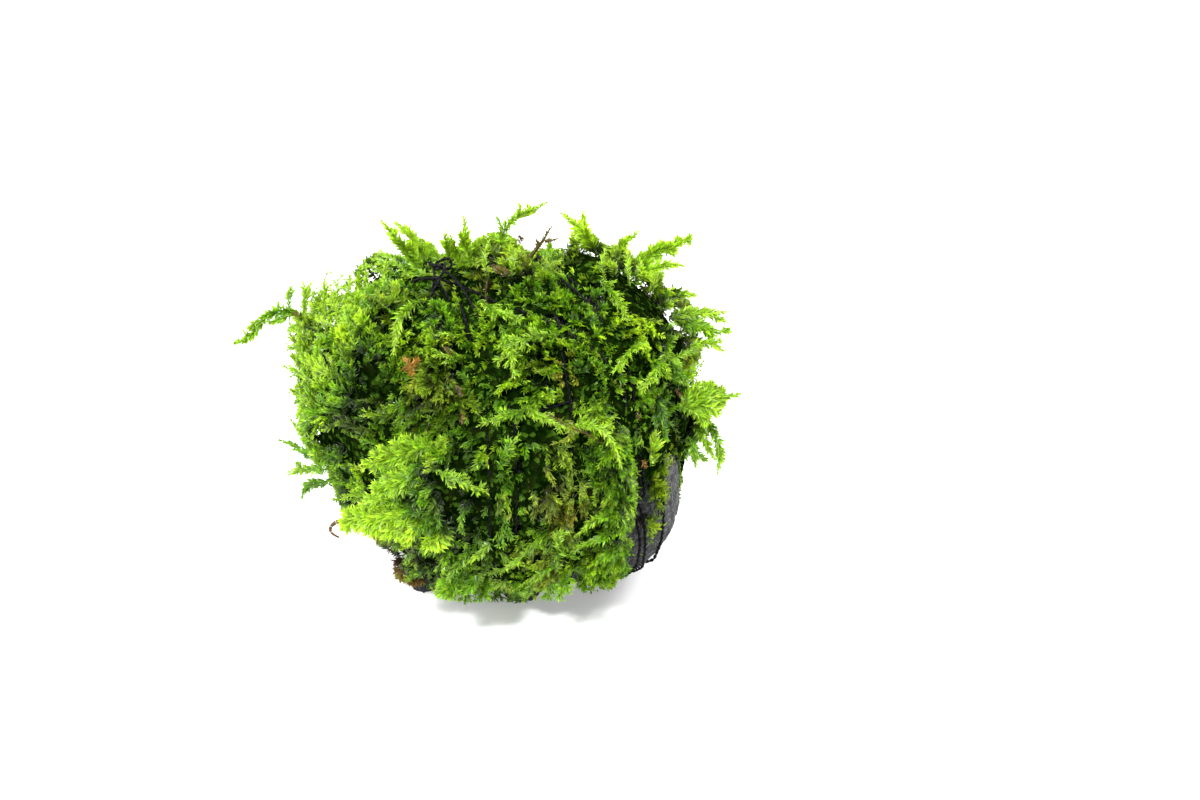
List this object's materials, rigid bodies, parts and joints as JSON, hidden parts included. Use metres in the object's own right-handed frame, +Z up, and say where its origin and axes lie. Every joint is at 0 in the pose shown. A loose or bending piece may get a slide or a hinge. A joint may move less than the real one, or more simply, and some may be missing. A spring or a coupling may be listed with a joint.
{
  "type": "moss on stone",
  "caption": "Lump of dark lava stone wrapped in a mat of bright green aquarium moss with leafy fronds, bound on with black thread and knotted on top.",
  "frame": {"origin": "middle of the whole object's box, at the flat surface that the stone's feet stand on", "axes": "+Z up, -Y toward the side seen in the picture, +X to the right of that view"},
  "size_m": [0.085, 0.0648, 0.0672],
  "materials": {
    "lava": "rough porous dark grey lava stone",
    "moss": "wet leafy moss, deep to bright green",
    "young_moss": "wet young moss, light yellow green, light comes through it",
    "black_thread": "black twisted thread",
    "dead_leaf": "brown dead plant matter"
  },
  "bodies": {
    "root": {"bare_twig": "dead_leaf", "binding_thread": "black_thread", "dead_leaf": "dead_leaf", "frond_back_high": "young_moss", "frond_back_left": "young_moss", "frond_back_right": "young_moss", "frond_front_foot": "young_moss", "frond_left_arm": "young_moss", "frond_left_broad": "young_moss", "frond_left_broad_upper": "young_moss", "frond_left_foot": "young_moss", "frond_left_low": "young_moss", "frond_left_sprig": "young_moss", "frond_left_thin": "young_moss", "frond_right_broad": "young_moss", "frond_right_hanging": "young_moss", "frond_right_high": "young_moss", "frond_right_low": "young_moss", "frond_right_middle": "young_moss", "frond_right_rear": "young_moss", "frond_top_back": "young_moss", "frond_top_back_second": "young_moss", "frond_top_curved": "young_moss", "frond_top_left": "young_moss", "frond_top_left_second": "young_moss", "frond_top_middle": "young_moss", "frond_top_right": "young_moss", "frond_upper_right": "young_moss", "frond_upper_right_second": "young_moss", "lava_stone": "lava", "moss_mat": "moss", "thread_knot": "black_thread"}
  },
  "joints": []
}
